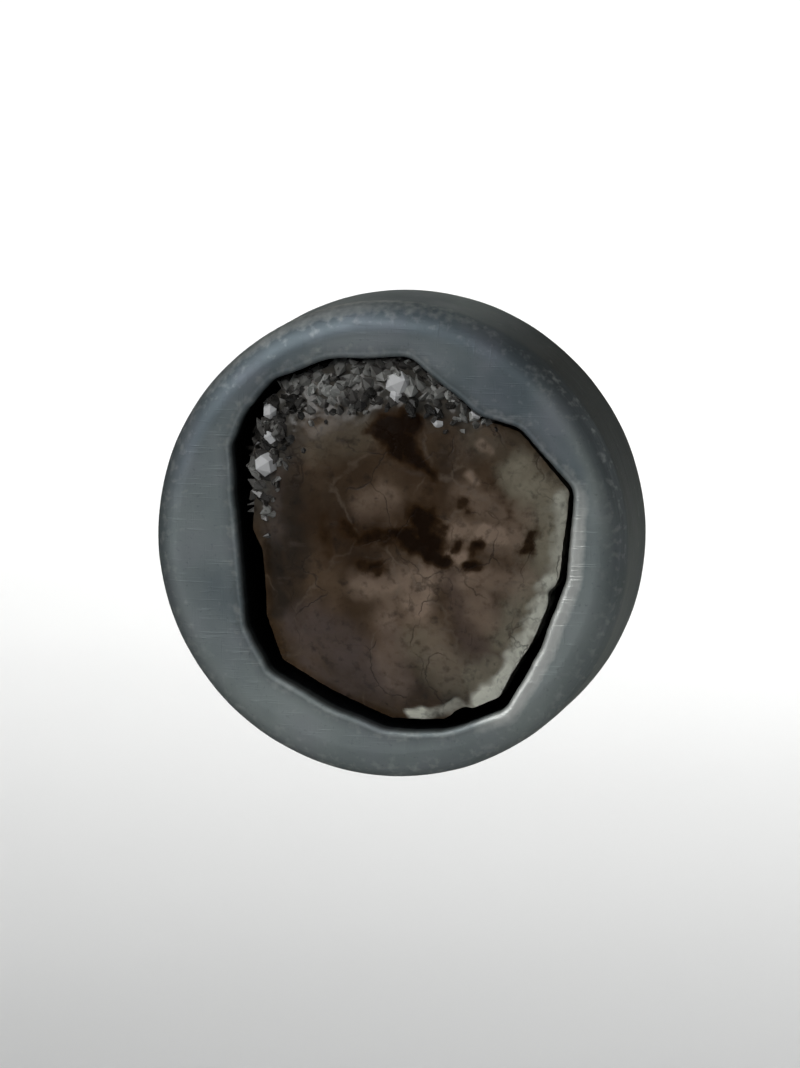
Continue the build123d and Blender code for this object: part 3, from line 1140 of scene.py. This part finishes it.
def join_flashes(piece):
    """Adds the larger crystals to the crust's mesh, with their painted highlight."""
    mesh = bmesh.new()
    mesh.from_mesh(piece.data)
    glint = mesh.faces.layers.float.new("glint")
    facet = mesh.faces.layers.float["facet"]
    for number, (x, z, size, brightness) in enumerate(FLASHES):
        points, faces = flash_crystal(x, z, size, number * FLASH_SPIN)
        made = [mesh.verts.new(p * MM) for p in points]
        for place, face_points in enumerate(faces):
            skinned = mesh.faces.new([made[i] for i in face_points])
            skinned[glint] = brightness * FACET_GLINT.get(place, OTHER_GLINT)
            skinned[facet] = 1.0
    mesh.to_mesh(piece.data)
    mesh.free()


def keep_clear(piece, gap=0.05):
    """Keeps the crystals behind the table's level and a small gap away from the pocket's wall."""
    points = np.array([point.co for point in piece.data.vertices]) / MM
    points[:, 1] = np.maximum(points[:, 1], table + 0.01)
    spread, directions = round_axis(points)
    limit = np.interp(directions, disc_angles, mouth_reach(), period=2 * np.pi) - gap
    shrink = np.minimum(1, limit / spread)
    points[:, [0, 2]] *= shrink[:, None]
    piece.data.vertices.foreach_set("co", (points * MM).ravel())


join_flashes(crystal_crust)
keep_clear(crystal_crust)
print(f"with {len(FLASHES)} larger crystals: {len(crystal_crust.data.polygons)} faces")

# %% [markdown]
# ## The ear nut
#
# The nut is stamped from one strip of sheet silver: a round plate with the hole, whose two ends
# are rolled back into scrolls that grip the post. A strip that follows a path is what Geometry
# Nodes do best, so the tree sweeps a flat section round one roll, mirrors it, adds the plate and
# cuts the hole. A bevel then takes the sharpness off every edge, as tumbling does.

# %% Sizes of the nut
NUT_STRIP = 0.28
NUT_BORE = 0.43
NUT_SCROLL_WIDTH = 2.2
NUT_TURN = 290  # degrees
NUT_EDGE = 0.045  # width of the bevel on its edges
nut_scroll_radius = (nut_high.y - nut_low.y) / 2
nut_side = nut_high.x - nut_scroll_radius
nut_plate_radius = nut_high.z
print(f"scrolls {2 * nut_scroll_radius:.2f} mm across, {nut_side:.2f} mm to each side of the post")


# %% The tree that rolls the nut
ON_EDGE = (math.pi / 2, 0, 0)  # turns a cylinder until it lies along the post


def nut_tree():
    """A flat strip rolled at both ends, with a round plate between and a hole through it."""
    names = ("Strip thickness", "Scroll radius", "Scroll width", "Side", "Turn",
             "Plate radius", "Bore")
    given = new_tree("roll ear nut", dict.fromkeys(names, "Float"))
    thick, side = given["Strip thickness"], given["Side"]
    middle = calc("MULTIPLY_ADD", thick, -0.5, given["Scroll radius"])
    arc = {"Resolution": 72, "Radius": middle, "Start Angle": -math.pi / 2,
           "Sweep Angle": given["Turn"]}
    roll = put("GeometryNodeCurveArc", arc, mode="RADIUS").outputs["Curve"]
    roll = moved(roll, Translation=vector(side, given["Scroll radius"]))
    section = {"Width": thick, "Height": given["Scroll width"]}
    section = put("GeometryNodeCurvePrimitiveQuadrilateral", section).outputs[0]
    sweep = {"Curve": roll, "Profile Curve": section, "Fill Caps": True}
    right = put("GeometryNodeCurveToMesh", sweep).outputs[0]
    left = put("GeometryNodeFlipFaces", {0: moved(right, Scale=(-1, 1, 1))}).outputs[0]
    plate = {"Vertices": 96, "Radius": given["Plate radius"], "Depth": thick}
    plate = put("GeometryNodeMeshCylinder", plate).outputs["Mesh"]
    stand = vector(0.0, calc("MULTIPLY", thick, 0.5))
    plate = moved(plate, Translation=stand, Rotation=ON_EDGE)
    x, y, z = position()
    cut = calc("MINIMUM", x, side)
    cut = calc("MAXIMUM", cut, calc("MULTIPLY", side, -1.0))
    inputs = {"Geometry": plate, "Position": vector(cut, y, z)}
    plate = put("GeometryNodeSetPosition", inputs).outputs[0]
    bore = {"Vertices": 64, "Radius": given["Bore"], "Depth": calc("MULTIPLY", thick, 4.0)}
    bore = put("GeometryNodeMeshCylinder", bore).outputs["Mesh"]
    bore = moved(bore, Rotation=ON_EDGE)
    whole = put("GeometryNodeMeshBoolean", operation="UNION", solver="EXACT")
    for part in (plate, right, left):
        fill(whole, {1: part})
    inputs = {0: whole.outputs[0], 1: bore}
    drilled = put("GeometryNodeMeshBoolean", inputs, operation="DIFFERENCE").outputs[0]
    return end_tree(real_copies(drilled), given["Finish"])


# %% The nut's finish
def make_plain_silver():
    """Satin silver, lightly tarnished in broad patches, with fine polishing marks."""
    material, shader = start_material("satin_silver")
    tarnish = ramp(cloudy(0.8, 5), [(0.35, (0.62, 0.61, 0.58)),
                                                       (0.60, (0.50, 0.49, 0.45)),
                                                       (0.78, (0.36, 0.34, 0.29))])
    rough = calc("MULTIPLY_ADD", cloudy(4.0, 4), 0.18, 0.24)
    fill(shader, {"Base Color": tarnish, "Roughness": rough, "Metallic": 1.0})
    marks = cloudy(1.0, 2, (2, 2, 30), (0, 0.4, 0))
    relief(shader, calc("ADD", marks, cloudy(16.0, 3)), 0.003)
    return material


satin_silver = make_plain_silver()
print("finish:", satin_silver.name)


# %% Roll the nut, soften its edges and move it along the post
def make_nut():
    """The ear nut as one mesh in its place on the post."""
    piece = make_piece("ear_nut_rolled", [(0, 0, 0)], [])
    apply_tree(piece, nut_tree(), {
        "Strip thickness": NUT_STRIP * MM,
        "Scroll radius": nut_scroll_radius * MM,
        "Scroll width": NUT_SCROLL_WIDTH * MM,
        "Side": nut_side * MM,
        "Turn": math.radians(NUT_TURN),
        "Plate radius": nut_plate_radius * MM,
        "Bore": NUT_BORE * MM,
        "Finish": satin_silver,
    })
    piece.data.transform(Matrix.Translation((0, nut_low.y * MM, 0)))
    bevel = piece.modifiers.new("tumbled edges", "BEVEL")
    bevel.width = NUT_EDGE * MM
    bevel.segments = 3
    bevel.limit_method = "ANGLE"
    bevel.angle_limit = math.radians(40)
    smooth(piece, 50)
    return piece


ear_nut_rolled = make_nut()
print(f"nut: {len(ear_nut_rolled.data.polygons)} faces before its bevel")

# %% [markdown]
# ## Put the pieces in place
#
# Every piece rides on the one body, and the table lists the material slot of the record that its
# finish belongs to. All but the crust also stand for a solid of their own, which is hidden.

# %% Bodies, solids and slots
PIECES = [
    # piece, solid that it stands for, material slot
    (silver_setting, "setting", "oxidised_silver"),
    (smoky_stone, "stone", "smoky_stone"),
    (crystal_crust, None, "smoky_stone"),
    (ear_nut_rolled, "ear_nut", "plain_silver"),
]
for piece, solid, slot in PIECES:
    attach(piece, "root")
    if solid:
        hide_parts(solid)
print("pieces:", [piece.name for piece, _, _ in PIECES])

# %% [markdown]
# ## Floor, light and camera
#
# The stud hangs upright, as it is worn, above a plain pale sweep that curves from floor to
# backdrop. The room in front is dim, because polished metal and stone show whatever they face.
# A soft key light stands high in front on the left, a weak one skims the face from the left, a
# third brightens the side from behind on the right, and the last one lights the sweep.

# %% The pale sweep
def make_sweep():
    """A floor that curves up into a backdrop."""
    bend, half, front, back, drop, top = 110.0, 420.0, -400.0, 200.0, -32.0, 420.0
    line = [(front, drop)]
    for a in np.linspace(-np.pi / 2, 0, 24):
        line.append((back + bend * np.cos(a), drop + bend + bend * np.sin(a)))
    line.append((back + bend, top))
    points = [(x, y, z) for y, z in line for x in (-half, half)]
    faces = [(2 * i, 2 * i + 1, 2 * i + 3, 2 * i + 2) for i in range(len(line) - 1)]
    sweep = make_piece("pale_sweep", points, faces)
    sweep.data.shade_smooth()
    material, shader = start_material("pale_paper")
    tones = [(0.3, (0.80, 0.80, 0.79)), (0.7, (0.84, 0.84, 0.83))]
    tone = ramp(cloudy(0.02, 2), tones)
    fill(shader, {"Base Color": tone, "Roughness": 0.9})
    sweep.data.materials.append(material)
    print(f"sweep: floor {-drop:.0f} mm below the post")


make_sweep()


# %% Lights
LIGHTS = [
    # name, place, aim, width, watts, beam in degrees; lengths in millimetres
    ("key", (-55, -85, 60), (0, -2, 0), 110, 0.0128, 50),
    ("graze", (-100, -12, 62), (0, -2, 0), 30, 0.0002, 30),
    ("side_fill", (110, 62, 46), (0, 3, 0), 60, 0.0018, 40),
    ("sweep_light", (0, 190, 250), (0, 270, 0), 180, 0.32, 90),
]
ROOM_TONES = [
    # share of the way from the right to the upper left, colour
    (0.0, (0.13, 0.13, 0.137)),
    (0.60, (0.12, 0.125, 0.13)),
    (0.82, (0.14, 0.145, 0.15)),
    (1.0, (0.20, 0.215, 0.225)),
]
PALE_SIDE = (-0.70, -0.15, 0.70)  # direction in which the room is palest


def soft_light(name, place, aim, width, watts, beam):
    """A square soft light that is aimed at a point."""
    lamp = bpy.data.lights.new(name, "AREA")
    lamp.size = width * MM
    lamp.energy = watts
    lamp.spread = math.radians(beam)
    holder = new_object(name, lamp)
    holder.location = Vector(place) * MM
    holder.rotation_euler = (Vector(aim) - Vector(place)).to_track_quat("-Z", "Y").to_euler()


def dim_room():
    """A world that is dim all round and palest towards the upper left."""
    world = bpy.data.worlds.new("dim_room")
    world.use_nodes = True
    Bench.tree = world.node_tree
    inputs = {0: put("ShaderNodeTexCoord").outputs["Generated"], 1: PALE_SIDE}
    towards = put("ShaderNodeVectorMath", inputs, operation="DOT_PRODUCT").outputs["Value"]
    tone = ramp(stretch_range(towards, -1.0, 1.0), ROOM_TONES)
    fill(Bench.tree.nodes["Background"], {"Color": tone, "Strength": 1.0})
    bpy.context.scene.world = world


for light in LIGHTS:
    soft_light(*light)
dim_room()
print("lights:", [name for name, *_ in LIGHTS])

# %% Camera, from the photograph's direction
AZIMUTH = 12.0
ELEVATION = 8.5
LENS = 300.0
SHARE_OF_WIDTH = 0.60
FRAME_ASPECT = 800 / 1068


def make_camera():
    """A long lens that looks at the disc from a little to the right and above."""
    lens = bpy.data.cameras.new("camera")
    lens.lens = LENS
    lens.clip_start = 0.005
    lens.clip_end = 5.0
    holder = new_object("camera", lens)
    frame_height = 2 * disc_radius / SHARE_OF_WIDTH / FRAME_ASPECT
    distance = frame_height * LENS / lens.sensor_width
    a, e = math.radians(AZIMUTH), math.radians(ELEVATION)
    back = Vector((math.sin(a) * math.cos(e), -math.cos(a) * math.cos(e), math.sin(e)))
    target = Vector((0, face / 2, 0))
    holder.location = (target + back * distance) * MM
    holder.rotation_euler = back.to_track_quat("Z", "Y").to_euler()
    bpy.context.scene.camera = holder
    return distance


distance = make_camera()
bpy.context.scene.view_settings.view_transform = "Standard"
print(f"camera {distance:.0f} mm away")
